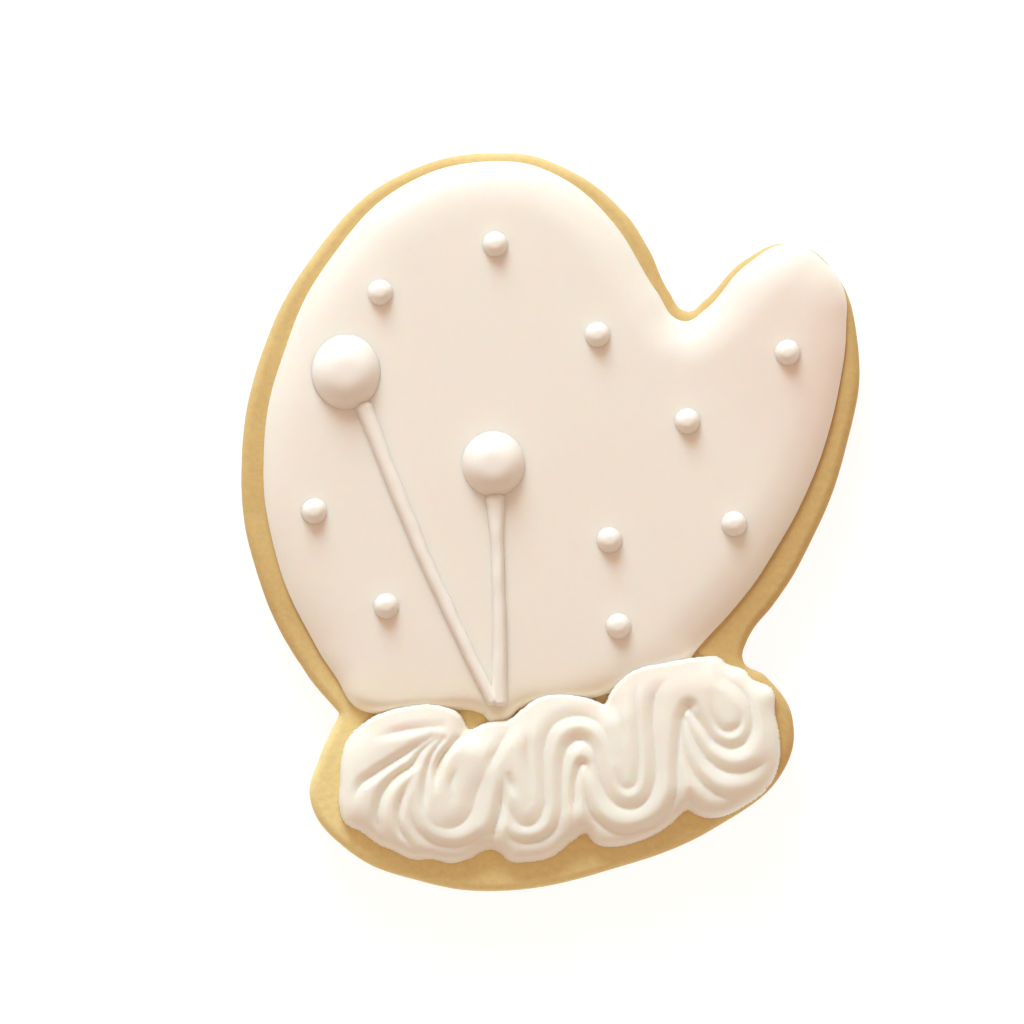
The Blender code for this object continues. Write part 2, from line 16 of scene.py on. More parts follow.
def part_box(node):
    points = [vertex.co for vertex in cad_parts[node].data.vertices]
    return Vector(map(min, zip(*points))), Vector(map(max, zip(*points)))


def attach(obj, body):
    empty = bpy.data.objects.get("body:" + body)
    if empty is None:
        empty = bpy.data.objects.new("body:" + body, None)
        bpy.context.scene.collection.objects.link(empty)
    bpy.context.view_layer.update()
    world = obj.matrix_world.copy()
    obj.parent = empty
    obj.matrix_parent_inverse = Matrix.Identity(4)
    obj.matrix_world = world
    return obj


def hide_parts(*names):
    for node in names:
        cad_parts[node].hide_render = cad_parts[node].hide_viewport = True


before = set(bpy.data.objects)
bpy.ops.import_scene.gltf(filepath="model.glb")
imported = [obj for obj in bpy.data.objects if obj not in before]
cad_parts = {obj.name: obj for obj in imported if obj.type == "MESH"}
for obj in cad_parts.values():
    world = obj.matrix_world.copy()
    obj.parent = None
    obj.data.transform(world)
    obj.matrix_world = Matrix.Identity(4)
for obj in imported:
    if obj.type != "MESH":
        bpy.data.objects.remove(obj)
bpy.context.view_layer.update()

bl_info = {
    "name": "Iced Mitten Cookie",
    "version": (1, 0, 0),
    "blender": (4, 5, 0),
    "location": "View3D > Sidebar > Cookie",
    "description": "Builds an iced sugar cookie with piped decoration and a studio to show it in",
    "category": "Add Mesh",
}

MM = 0.001
DOUGH_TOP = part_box("dough")[1].z
ICING_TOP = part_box("icing")[1].z
BORDER_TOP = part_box("border")[1].z
POP_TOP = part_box("pop_left")[1].z
DOT_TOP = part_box("dot_01")[1].z

# The dough's outline, from the top of the hand counter-clockwise. The corner is where the cuff
# meets the hand on the left.
DOUGH_OUTLINE = (
    (-6.0, 50.0), (-21.0, 46.6), (-32.5, 35.6), (-39.3, 22.0), (-41.9, 7.0), (-39.5, -8.0),
    (-33.3, -20.4), (-28.6, -26.0), (-31.3, -31.7), (-32.6, -37.6), (-27.8, -44.3),
    (-18.5, -48.6), (-6.0, -50.0), (9.0, -47.0), (22.0, -41.8), (31.4, -34.1), (33.0, -26.9),
    (29.4, -20.9), (26.3, -18.9), (26.8, -16.2), (30.5, -11.1), (34.3, -5.1), (40.6, 11.5),
    (41.8, 24.5), (38.0, 34.6), (32.5, 37.7), (26.3, 35.5), (20.9, 30.2), (18.5, 28.6),
    (16.2, 31.3), (13.4, 37.1), (9.8, 42.3), (1.8, 48.0),
)
DOUGH_CORNERS = (7,)
DOUGH_CENTRE = (0.0, -8.0)  # the whole outline is seen from here
DOUGH_UNDER_SHARES = (0, 0.2, 0.4, 0.6, 0.75, 0.86, 0.93, 0.975)  # rings from middle to edge
DOUGH_FOOT_RINGS = 9
DOUGH_WALL_RINGS = 10
DOUGH_SHOULDER_RINGS = 15
DOUGH_TOP_RINGS = 46
DOUGH_EDGE_WAVE = 9 * MM  # size of the bumps along its edge
DOUGH_SWELL_SIZE = 7 * MM  # size of the swells on its surface
DOUGH_DIMPLE_SIZE = 2.2 * MM  # size of the smaller dimples among them
DOUGH_DIMPLE_SHARE = 0.4  # their height against the swells

# Painted light and shade on the dough's top: pale at the cuff, where the border's shadow falls, and
# darker up the hand and at the cuff's right end.
SHADE_SLANT = 0.5  # how far up the hand a step to the right counts, in the painted light and shade
RIGHT_SHADE = 0.28  # how much darker the cuff's right end is painted, as painted shade
CUFF_REACH = 33 * MM  # from the middle to that end

# The flooded icing's edge, in the same order. It runs a little way under the border.
ICING_OUTLINE = (
    (-6.0, 48.7), (-19.4, 45.7), (-29.8, 35.5), (-36.2, 22.6), (-38.8, 8.0), (-36.6, -6.2),
    (-31.5, -17.2), (-28.8, -21.3), (-26.7, -24.8), (-24.7, -25.9), (-16.0, -25.9),
    (-9.4, -26.0), (-8.0, -27.3), (-6.2, -27.3), (-3.6, -25.3), (0.0, -24.9), (8.0, -23.3),
    (18.0, -19.6), (20.1, -17.1), (24.7, -12.0), (29.0, -6.3), (36.4, 8.0), (39.6, 21.0),
    (40.1, 26.5), (39.9, 31.0), (37.9, 34.5), (32.5, 37.6), (26.5, 34.8), (20.8, 28.6),
    (17.9, 27.2), (14.4, 31.2), (8.8, 40.2), (1.4, 46.6),
)
ICING_FALL = 1.8  # a higher power lets the rim fall off nearer to its edge
ICING_ROUNDING = 0.75  # a lower power makes its very edge rounder
ICING_LIP = 0.1  # height share of the icing at its very edge
ICING_CUFF_AT = -24.0 * MM  # the cuff's rim holds below here and widens over the next stretch
ICING_CUFF_BLEND = 8.0 * MM
ICING_CENTRE = (9.5, 12.4)
BLUSH_CENTRE = (39 * MM, 21 * MM, 9 * MM)  # on the side of the thumb
ICING_SPOKES = 700
ICING_RIM_RINGS = (0, 0.04, 0.1, 0.2, 0.32, 0.47, 0.65, 0.9, 1.2, 1.55, 2.0, 2.5, 3.1)
ICING_TOP_SHARES = (0.92, 0, 30)  # outermost ring, middle, count
ICING_UNDER_SHARES = (1, 0.99, 0.95, 0.85, 0.6, 0.3, 0)
ICING_SINK = 0.15 * MM  # how far its underside lies in the dough
ICING_EDGE_WAVE = 8 * MM  # size of the bumps along its edge
ICING_EDGE_STRAY = 0.12 * MM
ICING_EDGE_SHIFT = 0.1 * MM  # keeps the straying edge inside the outline
ICING_SMOOTH_FROM = 0.6 * MM  # height above the dough from which its top is smoothed
ICING_SMOOTHINGS = 3
ICING_SWELL_SIZE = 16 * MM  # size of the low swells on its top
ICING_SWELL = 0.05 * MM

# The piped border's edge, counter-clockwise from the top of its left shell.
BORDER_OUTLINE = (
    (-16.0, -24.5), (-19.5, -24.8), (-22.5, -25.6), (-25.3, -27.2), (-27.4, -29.4),
    (-28.25, -32.0), (-28.5, -35.5), (-28.5, -38.8), (-27.8, -40.7), (-25.4, -42.1),
    (-23.2, -43.7), (-21.3, -44.5), (-18.6, -45.7), (-16.0, -45.7), (-13.2, -46.2),
    (-10.6, -45.5), (-9.0, -44.6), (-7.9, -44.3), (-6.9, -44.8), (-5.6, -45.9), (-2.6, -46.0),
    (0.4, -45.3), (2.6, -43.6), (4.7, -42.1), (6.3, -43.7), (8.4, -44.0), (11.6, -43.4),
    (15.0, -41.9), (18.5, -39.0), (20.6, -40.0), (23.2, -39.9), (26.4, -38.4), (29.5, -35.9),
    (30.9, -33.0), (31.1, -29.5), (30.4, -25.5), (30.1, -22.7), (27.4, -21.2), (26.1, -19.9),
    (24.2, -19.3), (22.6, -18.2), (20.8, -18.2), (15.5, -18.9), (11.0, -20.0), (8.6, -22.1),
    (7.35, -24.6), (4.6, -23.6), (1.2, -23.1), (-1.6, -23.6), (-4.0, -25.3), (-5.7, -26.6),
    (-8.3, -27.0), (-11.0, -28.1), (-11.5, -26.9), (-12.2, -25.8), (-13.6, -25.0),
)
BORDER_CORNERS = (17, 23, 28, 45, 52)
# Its creases: (depth, half width, share of the depth at either end), then points on the way.
BORDER_CREASES = (
    ((0.6, 1.4, 0.5, 0.0), ((-14.8, -27.5), (-17.5, -27.8), (-20.0, -28.2), (-24.6, -29.3))),
    ((0.9, 1.4, 0.4, 0.0), ((-16.0, -29.0), (-18.5, -30.7), (-21.0, -32.3), (-23.8, -34.1),
                            (-25.6, -35.5), (-26.8, -38.9))),
    ((1.0, 1.4, 0.4, 0.3), ((-15.4, -29.3), (-17.5, -31.1), (-18.6, -32.8), (-20.5, -34.1),
                            (-22.2, -35.9), (-23.2, -38.5), (-23.2, -40.8), (-22.4, -43.7))),
    ((0.9, 1.1, 0.2, 0.1), ((-18.4, -34.1), (-19.6, -36.3), (-20.4, -38.8), (-20.3, -41.1),
                            (-19.2, -43.1), (-17.6, -45.1))),
    ((0.9, 1.1, 0.5, 0.0), ((-14.4, -29.3), (-15.9, -31.3), (-16.7, -33.9), (-17.0, -36.5),
                            (-16.9, -39.1), (-16.2, -40.5))),
    ((1.4, 1.2, 0.6, 0.0), ((-12.3, -29.1), (-13.8, -30.7), (-14.9, -32.3), (-15.4, -34.1),
                            (-15.5, -37.1))),
    ((0.4, 1.0, 0.1, 0.4), ((-12.4, -32.9), (-13.3, -35.3), (-13.2, -37.2))),
    ((0.7, 1.8, 0.2, 0.4), ((-18.7, -37.9), (-18.6, -40.3), (-16.8, -42.7), (-14.3, -43.8),
                            (-11.6, -43.7), (-8.6, -42.3))),
    ((0.6, 2.3, 0.2, 0.2), ((-16.6, -39.9), (-15.0, -41.1), (-12.9, -41.2), (-11.0, -39.7),
                            (-10.0, -36.9), (-9.0, -34.1), (-8.2, -31.9))),
    ((0.6, 1.6, 0.6, 0.0), ((-5.4, -27.1), (-6.6, -29.7), (-8.0, -32.3), (-9.2, -35.5))),
    ((1.1, 1.7, 0.1, 0.3), ((-6.4, -33.5), (-6.5, -36.5), (-6.8, -39.3), (-7.6, -41.9),
                            (-7.9, -46.1))),
    ((0.6, 2.1, 0.2, 0.3), ((-6.3, -35.9), (-5.5, -38.7), (-4.0, -40.8), (-2.4, -40.9),
                            (-1.0, -38.9), (-0.9, -34.5), (-0.7, -29.9), (0.4, -27.5),
                            (2.8, -26.3), (5.4, -26.5), (7.3, -28.1), (8.1, -31.5))),
    ((0.6, 1.3, 0.0, 0.1), ((-6.0, -32.9), (-5.3, -35.2), (-4.5, -37.5))),
    ((0.6, 1.5, 0.0, 0.3), ((-3.2, -26.9), (-3.1, -32.1), (-2.6, -35.1), (-2.4, -37.4))),
    ((0.8, 2.2, 0.3, 0.1), ((-6.3, -40.9), (-4.9, -42.9), (-2.4, -43.3), (0.0, -42.3),
                            (1.3, -39.7), (1.5, -35.5), (1.8, -31.9), (2.8, -29.7),
                            (4.2, -29.1), (5.6, -30.3), (6.2, -32.7), (7.0, -35.5),
                            (8.4, -37.7), (10.4, -38.7), (12.6, -38.0), (13.9, -35.5),
                            (14.1, -31.5), (13.8, -26.0), (14.3, -22.9), (16.2, -20.7))),
    ((1.1, 1.7, 0.0, 0.0), ((1.7, -33.1), (2.4, -30.5), (4.1, -29.4), (5.7, -30.9),
                            (6.2, -32.9))),
    ((1.0, 1.6, 0.1, 0.0), ((3.1, -41.9), (3.2, -37.5), (3.5, -34.3), (4.5, -32.6),
                            (5.4, -33.9), (6.2, -36.5))),
    ((0.8, 1.7, 0.4, 1.2), ((4.3, -34.9), (4.8, -37.3), (6.3, -40.4), (9.2, -42.1),
                            (12.6, -41.6), (15.8, -39.7), (16.9, -36.7), (17.1, -32.5),
                            (17.5, -28.5), (18.2, -25.6), (18.9, -25.0))),
    ((0.7, 1.7, 1.0, 0.1), ((18.0, -26.5), (18.1, -29.9), (18.9, -32.9), (20.5, -35.3),
                            (23.0, -37.1), (26.0, -37.9))),
    ((0.8, 2.0, 0.9, 0.1), ((18.4, -26.7), (19.8, -29.9), (22.2, -32.9), (25.0, -33.9),
                            (28.0, -33.1), (30.4, -31.3))),
    ((0.8, 2.0, 1.2, 0.5), ((18.6, -25.1), (20.4, -27.4), (22.4, -29.8), (25.0, -30.5),
                            (26.8, -28.9), (27.1, -25.9), (26.0, -22.9), (23.4, -20.9))),
    ((0.6, 1.5, 0.2, 0.0), ((21.8, -23.5), (22.1, -26.5), (23.3, -28.1), (24.9, -28.0),
                            (25.7, -26.7), (25.2, -25.2), (23.8, -24.6))),
    ((0.4, 1.4, 0.0, 0.2), ((8.2, -32.0), (8.9, -34.2), (9.9, -35.8), (11.1, -35.7),
                            (11.8, -33.5), (11.7, -27.5), (11.4, -23.7), (12.0, -21.1))),
    ((0.3, 1.1, 0.0, 0.0), ((9.0, -24.1), (9.6, -27.5), (10.2, -30.9))),
    ((0.3, 1.5, 0.1, 0.3), ((26.4, -21.5), (28.4, -24.3), (29.2, -26.9), (29.6, -29.5))),
    ((0.4, 1.3, 0.6, 0.1), ((18.9, -36.5), (19.6, -38.7), (20.9, -40.3))),
)
BORDER_MIDDLE = ((-20.0, -35.4), (-8.0, -36.2), (6.0, -34.4), (21.8, -29.6))
CREASE_SHARPNESS = 0.6  # 0 gives soft valleys, 1 gives round ropes that meet in sharp lines
CREASE_FADE = 2.5 * MM  # depth inside the border's edge at which creases are full
BORDER_EDGE_FADE = 1.5  # a higher power lets the border's body take over sooner from its edge
BORDER_CELL = 0.2 * MM  # spacing of the border's surface points
BORDER_SNAP = 0.5  # share of a cell within which a point moves onto the edge
BORDER_SLANT = 0.14  # how far the cuff climbs for each step to the right
BORDER_SOFT_FOOT = 0.8 * MM  # depth inside its edge over which the steep side is smoothed
BORDER_SMOOTHINGS = 6
BORDER_SINK = 0.2 * MM  # how far its foot lies in the dough
BORDER_EDGE_STEPS = 6000
BORDER_DEPTH_STEP = 4  # one in so many of the edge's points counts for the depth
MIDDLE_STEPS = 60
CREASE_STEPS = 8  # for each of the points that a crease runs through

# Pops: (x, y, half width, half length). Sticks: (x, y, half width) from the pop down.
POPS = {"left": (-27.5, 20.15, 4.75, 5.1), "right": (-7.6, 7.75, 4.3, 4.45)}
STICKS = {
    "left": (
        (-25.4, 16.2, 1.22), (-22.8, 9.6, 1.04), (-20.0, 2.4, 1.0), (-17.2, -4.4, 0.9),
        (-13.4, -12.6, 0.88), (-10.2, -19.4, 0.82), (-7.6, -24.8, 0.78),
    ),
    "right": (
        (-7.5, 3.9, 1.5), (-7.25, 1.6, 1.15), (-7.1, -3.0, 0.9), (-6.9, -9.5, 0.88),
        (-6.8, -16.0, 0.96), (-6.8, -21.0, 1.04), (-6.75, -25.0, 1.0),
    ),
}

PIPED_TOP = 3.2  # a higher power gives what is piped a flatter top
PIPED_SIDE = 0.95  # a lower power gives it steeper sides
PIPED_SINK = 0.1 * MM  # how far its foot lies in the icing
BEAD_SEGMENTS = 56
BEAD_RINGS = 41
BEAD_FOOT = 1e-4  # share of a bead's height that belongs to its flat foot
BEAD_LUMP_SIZE = 1.6  # size of its lumps, in half widths
BEAD_LUMP = 0.03  # height of its lumps, in half widths
BEAD_LUMP_SHIFT = 0.6  # keeps the lumps inside the dome
STICK_RINGS = 180
STICK_SIDES = 32
STICK_END = 0.7  # share of its half width over which a stick rounds off at its ends
STICK_STRAY = 0.12 * MM
STICK_STRAY_SIZE = 5 * MM
STICK_SWELL = 0.07  # share by which its half width comes and goes
STICK_SWELL_SIZE = 2.2 * MM
STICK_RISE = 0.08  # share by which its height comes and goes
STICK_RISE_SIZE = 3 * MM
STICK_DROP = 0.7 * MM  # how far below the icing's full height its floor may run

DOTS = (
    (-7.4, 37.4), (-22.9, 30.9), (6.4, 25.2), (32.0, 22.8), (18.5, 13.5), (-31.8, 1.4),
    (-22.1, -11.4), (8.0, -2.5), (24.8, -0.3), (9.2, -14.1),
)

CURVE_STEPS = 48  # between two of the points that a smooth line runs through
EDGE_STEPS = 900  # round the edge of the dough or icing
FINE_EDGE_STEPS = 3000  # round the icing's edge, under the border
BATCH = 2000  # points whose distances are worked out together
NEAREST = 1e-12  # square metres; keeps a distance from being nought

# Where the smooth random fields start, so that no two are alike.
SEEDS = {
    "dough_edge": 3.0, "dough_swell": 7.0, "dough_dimple": 11.0, "icing_edge": 21.0,
    "icing_swell": 31.0, "beads": 41.0, "stick_left": 51.0, "stick_right": 61.0,
}
STICK_SEED_STEPS = (0, 5, 9, 13)  # to the seeds for straying across and along, width and height

FLOOR_RADIUS = 4
FLOOR_SIDES = 96
KEY_PLACE = (-0.159, 0.747, 0.373)
KEY_SIZE = 0.42
KEY_POWER = 8.7  # watts
FILL_STRENGTH = 0.608
SENSOR_WIDTH = 36  # millimetres
CAMERA_CENTRE = (-5.14 * MM, 1.29 * MM)  # the camera looks straight down at this place
CAMERA_LEVEL = 4.3 * MM  # height at which it takes in the view width


def linear(code):
    """The linear colour of an sRGB hex code."""
    bytes_ = [int(code[start : start + 2], 16) / 255 for start in (1, 3, 5)]
    return tuple(b / 12.92 if b <= 0.04045 else ((b + 0.055) / 1.055) ** 2.4 for b in bytes_)


# ---- what a user would change ----


def length(name, description, default):
    return FloatProperty(
        name=name, description=description, default=default, min=0, precision=5, unit="LENGTH"
    )


def colour(name, description, code):
    return FloatVectorProperty(
        name=name, description=description, default=linear(code), size=3, subtype="COLOR"
    )


class DoughSettings(bpy.types.PropertyGroup):
    shoulder: length("Shoulder", "Rounding of the baked top edge", 1.3 * MM)
    foot: length("Foot", "Rounding of the edge that lay on the tray", 0.7 * MM)
    unevenness: length("Unevenness", "How far the rolled surface strays", 0.12 * MM)
    # Crumb and Baked are the two ends of the painted light and shade on the dough's top.
    crumb: colour("Crumb", "Pale dough, at the cuff", "#F2DA99")
    baked: colour("Baked", "Browner dough, towards the fingertips and the right", "#D6B475")
    tray: colour("Tray side", "Dough that lay on the tray", "#B98348")


class IcingSettings(bpy.types.PropertyGroup):
    rim: length("Rim", "Width over which the flooded icing falls to its edge", 6.0 * MM)
    cuff_rim: length("Cuff rim", "The same along the cuff, where the flood is scant", 2.2 * MM)
    ivory: colour("Ivory", "Flooded icing", "#F7EEE0")
    blush: colour("Blush", "Tint on the side of the thumb", "#F6E7D9")
    butter_and_shade: colour("Butter", "Tint where the flood runs thin along the cuff", "#FAEFDA")


class BorderSettings(bpy.types.PropertyGroup):
    wall: length("Wall", "Height of the border straight above its edge", 0.3 * MM)
    step: length("Step", "Way over which its edge climbs to the flooded icing", 4.0 * MM)
    swell: length("Swell", "Width over which the border swells up from its edge", 4.3 * MM)
    side: length("Side height", "How high the border stands away from its middle line", 2.8 * MM)
    reach: length("Reach", "From the middle line to where its crown ends", 13.5 * MM)
    taper: length("Taper", "Way over which a crease gains its full depth", 5.0 * MM)
    cream: colour("Cream", "Piped border", "#FCF4E6")
    # Painted shade: the border's side towards the hand takes this darker, warmer tone.
    butter_and_shade: colour("Butter", "Tint of its side towards the hand", "#F8EDDF")


class PipingSettings(bpy.types.PropertyGroup):
    dot_radius: length("Dot radius", "Half width of the small dots", 1.76 * MM)
    stick_height: length("Stick height", "How far the piped lines stand up", 1.2 * MM)
    white: colour("White", "Piped dots, pops and sticks", "#F9EFE2")


class StageSettings(bpy.types.PropertyGroup):
    lens: FloatProperty(name="Lens", description="Focal length", default=300, unit="CAMERA")
    view_width: length("View width", "What the camera takes in at the dough's edge", 138.57 * MM)
    key: colour("Key light", "Large softbox beyond the fingertips", "#D8F0FF")
    fill: colour("Fill light", "Warm light from above and around", "#FFE2CE")
    floor: colour("Floor", "Plain pale floor", "#FAFAF8")


# ---- plane geometry ----


def even(points, count):
    """The line through the points, again as this many evenly spaced ones."""
    steps = np.hypot(*np.diff(points[:, :2], axis=0).T)
    along = np.concatenate([[0], np.cumsum(steps)])
    wanted = np.linspace(0, along[-1], count)
    return np.stack([np.interp(wanted, along, column) for column in points.T], axis=-1)


def smooth_line(controls, corners, count, is_closed):
    """Points evenly spaced along the smooth curve through the controls, in metres."""
    data = bpy.data.curves.new("line", "CURVE")
    data.resolution_u = CURVE_STEPS
    spline = data.splines.new("BEZIER")
    spline.bezier_points.add(len(controls) - 1)
    spline.use_cyclic_u = is_closed
    for index, (knot, (x, y)) in enumerate(zip(spline.bezier_points, controls)):
        knot.co = (x * MM, y * MM, 0)
        kind = "VECTOR" if index in corners else "AUTO"
        knot.handle_left_type = kind
        knot.handle_right_type = kind
    guide = bpy.data.objects.new("line", data)
    mesh = bpy.data.meshes.new_from_object(guide)
    points = np.array([vertex.co[:2] for vertex in mesh.vertices])
    bpy.data.meshes.remove(mesh)
    bpy.data.objects.remove(guide)
    bpy.data.curves.remove(data)
    return even(closed(points), count + 1)[:-1] if is_closed else even(points, count)


def smooth_outline(controls, corners, count):
    return smooth_line(controls, corners, count, is_closed=True)


def way_along(points, line):
    """(distance, place along) of the nearest part of an open even line."""
    starts = line[:-1]
    runs = line[1:] - starts
    away = points[:, None] - starts
    share = np.clip((away * runs).sum(-1) / (runs**2).sum(-1), 0, 1)
    gaps = np.linalg.norm(away - share[..., None] * runs, axis=-1)
    best = gaps.argmin(axis=1)
    rows = np.arange(len(points))
    return gaps[rows, best], (best + share[rows, best]) * np.linalg.norm(runs[0])


def distance(points, line):
    """Distance of each point to the nearest part of an open line."""
    return way_along(points, line)[0]


def closed(outline):
    return np.vstack([outline, outline[:1]])


def inward(outline, depth):
    """The outline moved inwards; it runs counter-clockwise."""
    heading = np.roll(outline, -1, axis=0) - np.roll(outline, 1, axis=0)
    heading /= np.linalg.norm(heading, axis=1, keepdims=True)
    normal = np.stack([-heading[:, 1], heading[:, 0]], axis=-1)
    return outline + normal * np.reshape(depth, (-1, 1))


def ease(share):
    return share**2 * (3 - 2 * share)


def piped(share):
    """Height share of a piped line or bead, at this share of its half width from the middle."""
    return (1 - np.clip(np.abs(share), 0, 1) ** PIPED_TOP) ** PIPED_SIDE


def flooded_rim(depth, width):
    """Height share of the flooded icing, this deep inside its edge."""
    left = 1 - np.clip(depth / width, 0, 1)
    return (1 - left**ICING_FALL) ** ICING_ROUNDING


def quarter_round(depth, radius):
    """Height share of a rounded edge, this deep inside it."""
    inside = np.clip(depth / radius, 0, 1)
    return np.sqrt(1 - (1 - inside) ** 2)


def stray(points, size, seed):
    """Smooth random height between about -1 and 1 at each point, in bumps of this size."""
    places = np.column_stack([points, np.zeros((len(points), 3 - points.shape[1]))]) / size
    return np.array([noise.noise(Vector(place) + Vector((seed, seed, seed))) for place in places])


# ---- meshes ----


def skin(mesh, rings):
    """Adds to the mesh the closed surface through the rings, whose first and last are points."""
    rows, columns = rings.shape[:2]
    made = bmesh.ops.create_grid(mesh, x_segments=columns, y_segments=rows - 1, size=1)["verts"]
    order = sorted(made, key=lambda vertex: (round(vertex.co.y, 5), round(vertex.co.x, 5)))
    wrapped = np.concatenate([rings, rings[:, :1]], axis=1).reshape(-1, 3)
    for vertex, place in zip(order, wrapped):
        vertex.co = place
    bmesh.ops.remove_doubles(mesh, verts=made, dist=1e-8)


def finish(mesh, name, node, look):
    """Turns a bmesh into a piece that takes a CAD node's place."""
    bmesh.ops.recalc_face_normals(mesh, faces=mesh.faces)
    data = bpy.data.meshes.new(name)
    mesh.to_mesh(data)
    mesh.free()
    data.shade_smooth()
    data.materials.append(look)
    piece = bpy.data.objects.new(name, data)
    bpy.context.scene.collection.objects.link(piece)
    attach(piece, "root")
    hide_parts(node)


def at_height(ring, height):
    return np.column_stack([ring, np.broadcast_to(height, len(ring))])


def sweep(mesh, route, half_width, floor, height, sides):
    """Adds a flat-footed rope along the route: half_width, floor and height at each point."""
    heading = np.gradient(route, axis=0)
    heading /= np.linalg.norm(heading, axis=1, keepdims=True)
    across = np.stack([-heading[:, 1], heading[:, 0]], axis=-1)
    along = np.concatenate([[0], np.cumsum(np.hypot(*np.diff(route, axis=0).T))])
    narrowing = quarter_round(np.minimum(along, along[-1] - along), STICK_END * half_width)
    angles = np.linspace(0, math.tau, sides, endpoint=False)
    out = (half_width * narrowing)[:, None] * np.cos(angles)
    rise = np.where(angles < math.pi, piped(np.cos(angles)), 0)
    lift = (height * narrowing)[:, None] * rise
    flat = route[:, None] + across[:, None] * out[..., None]
    skin(mesh, np.dstack([flat, floor[:, None] + lift]))


def dough_edge():
    return closed(smooth_outline(DOUGH_OUTLINE, DOUGH_CORNERS, EDGE_STEPS))


def dough_surface(points):
    """Height of the dough's top, without its unevenness."""
    shoulder = bpy.context.scene.cookie_dough.shoulder
    drop = 1 - quarter_round(distance(points, dough_edge()), shoulder)
    return DOUGH_TOP - shoulder * drop


def icing_surface(points):
    """Height of the flooded icing's top."""
    settings = bpy.context.scene.cookie_icing
    edge = closed(smooth_outline(ICING_OUTLINE, (), EDGE_STEPS))
    along_hand = np.clip((points[:, 1] - ICING_CUFF_AT) / ICING_CUFF_BLEND, 0, 1)
    rim = settings.cuff_rim + (settings.rim - settings.cuff_rim) * along_hand
    swell = flooded_rim(distance(points, edge), rim)
    thickness = (ICING_TOP - DOUGH_TOP) * (ICING_LIP + (1 - ICING_LIP) * swell)
    return dough_surface(points) + thickness


# ---- the border's shape ----


def depth_inside(points, outline):
    """(depth of each point inside the outline, place on it nearest to the point)."""
    tree = kdtree.KDTree(len(outline))
    for index, (x, y) in enumerate(outline):
        tree.insert((x, y, 0), index)
    tree.balance()
    nearest = np.array([tree.find((x, y, 0))[1] for x, y in points])
    heading = np.roll(outline, -1, axis=0) - np.roll(outline, 1, axis=0)
    turn = heading[nearest]
    away = points - outline[nearest]
    side = np.sign(turn[:, 0] * away[:, 1] - turn[:, 1] * away[:, 0])
    return side * np.linalg.norm(away, axis=1), outline[nearest]


def onto_edge(points, outline, snap):
    """(points, which are inside the outline); those within the snap of it move onto it."""
    depth, nearest = depth_inside(points, outline)
    close = np.abs(depth) < snap
    return np.where(close[:, None], nearest, points), (depth > 0) | close


def soft_depth(points, outline):
    """Depth inside the outline, without a ridge where its sides are equally near.

    Each step of the outline counts by the inverse fourth power of its distance. Along a straight
    edge they add up to pi / 2 over the cubed depth."""
    step = np.linalg.norm(outline[1] - outline[0])
    depths = []
    for start in range(0, len(points), BATCH):
        away = points[start : start + BATCH, None] - outline
        squared = np.maximum((away**2).sum(-1), NEAREST)
        depths.append((2 / math.pi * step * (squared**-2).sum(axis=1)) ** (-1 / 3))
    return np.concatenate(depths)


def crease_depth(points, crease, taper):
    """How deep one crease is at each point: round shoulders that meet in a sharp line."""
    (full, half_width, first, last), way = crease
    line = smooth_line(way, (), CREASE_STEPS * len(way), is_closed=False)
    gap, along = way_along(points, line)
    whole_way = np.linalg.norm(line[1] - line[0]) * (len(line) - 1)
    taper = min(taper, whole_way / 2)
    rise = ease(np.clip(along / taper, 0, 1))
    fall = ease(np.clip((whole_way - along) / taper, 0, 1))
    strength = (first + (1 - first) * rise) * (last + (1 - last) * fall)
    share = np.clip(gap / (half_width * MM), 0, 1)
    valley = 1 - ease(share)
    fold = 1 - quarter_round(share, 1)
    return full * MM * strength * (valley + (fold - valley) * CREASE_SHARPNESS)


def border_height(points, depth):
    """Height of the border above the dough: a soft crowned body, folded along its creases."""
    settings = bpy.context.scene.cookie_border
    middle = smooth_line(BORDER_MIDDLE, (), MIDDLE_STEPS, is_closed=False)
    aside = np.clip(distance(points, middle) / settings.reach, 0, 1)
    crown = (BORDER_TOP - DOUGH_TOP - settings.side) * np.sqrt(1 - aside**2)
    folds = np.array([crease_depth(points, crease, settings.taper) for crease in BORDER_CREASES])
    fold = (folds**3).sum(axis=0) ** (1 / 3) * np.clip(depth / CREASE_FADE, 0, 1)
    over_icing, _ = depth_inside(points, smooth_outline(ICING_OUTLINE, (), FINE_EDGE_STEPS))
    share = ease(np.clip(1 + over_icing / settings.step, 0, 1))
    edge = settings.wall + (ICING_TOP - DOUGH_TOP) * share
    swell = quarter_round(depth, settings.swell)
    return edge * (1 - swell) ** BORDER_EDGE_FADE + (settings.side + crown) * swell - fold


# ---- materials ----


def add_node(tree, kind, inputs=None, **settings):
    """Adds a node with its settings. An input is a value or another node's output."""
    made = tree.nodes.new(kind)
    for name, value in settings.items():
        setattr(made, name, value)
    for key, value in (inputs or {}).items():
        if isinstance(value, bpy.types.NodeSocket):
            tree.links.new(value, made.inputs[key])
        else:
            made.inputs[key].default_value = value
    return made


def new_material(name):
    """A material with an empty tree, its Principled shader and the object's own coordinates."""
    material = bpy.data.materials.new(name)
    material.use_nodes = True
    tree = material.node_tree
    tree.nodes.clear()
    shader = add_node(tree, "ShaderNodeBsdfPrincipled")
    add_node(tree, "ShaderNodeOutputMaterial", {"Surface": shader.outputs["BSDF"]})
    place = add_node(tree, "ShaderNodeTexCoord").outputs["Object"]
    return material, tree, shader, place


def pattern(size):
    """Noise scale whose bumps are about this many metres across."""
    return 0.5 / size


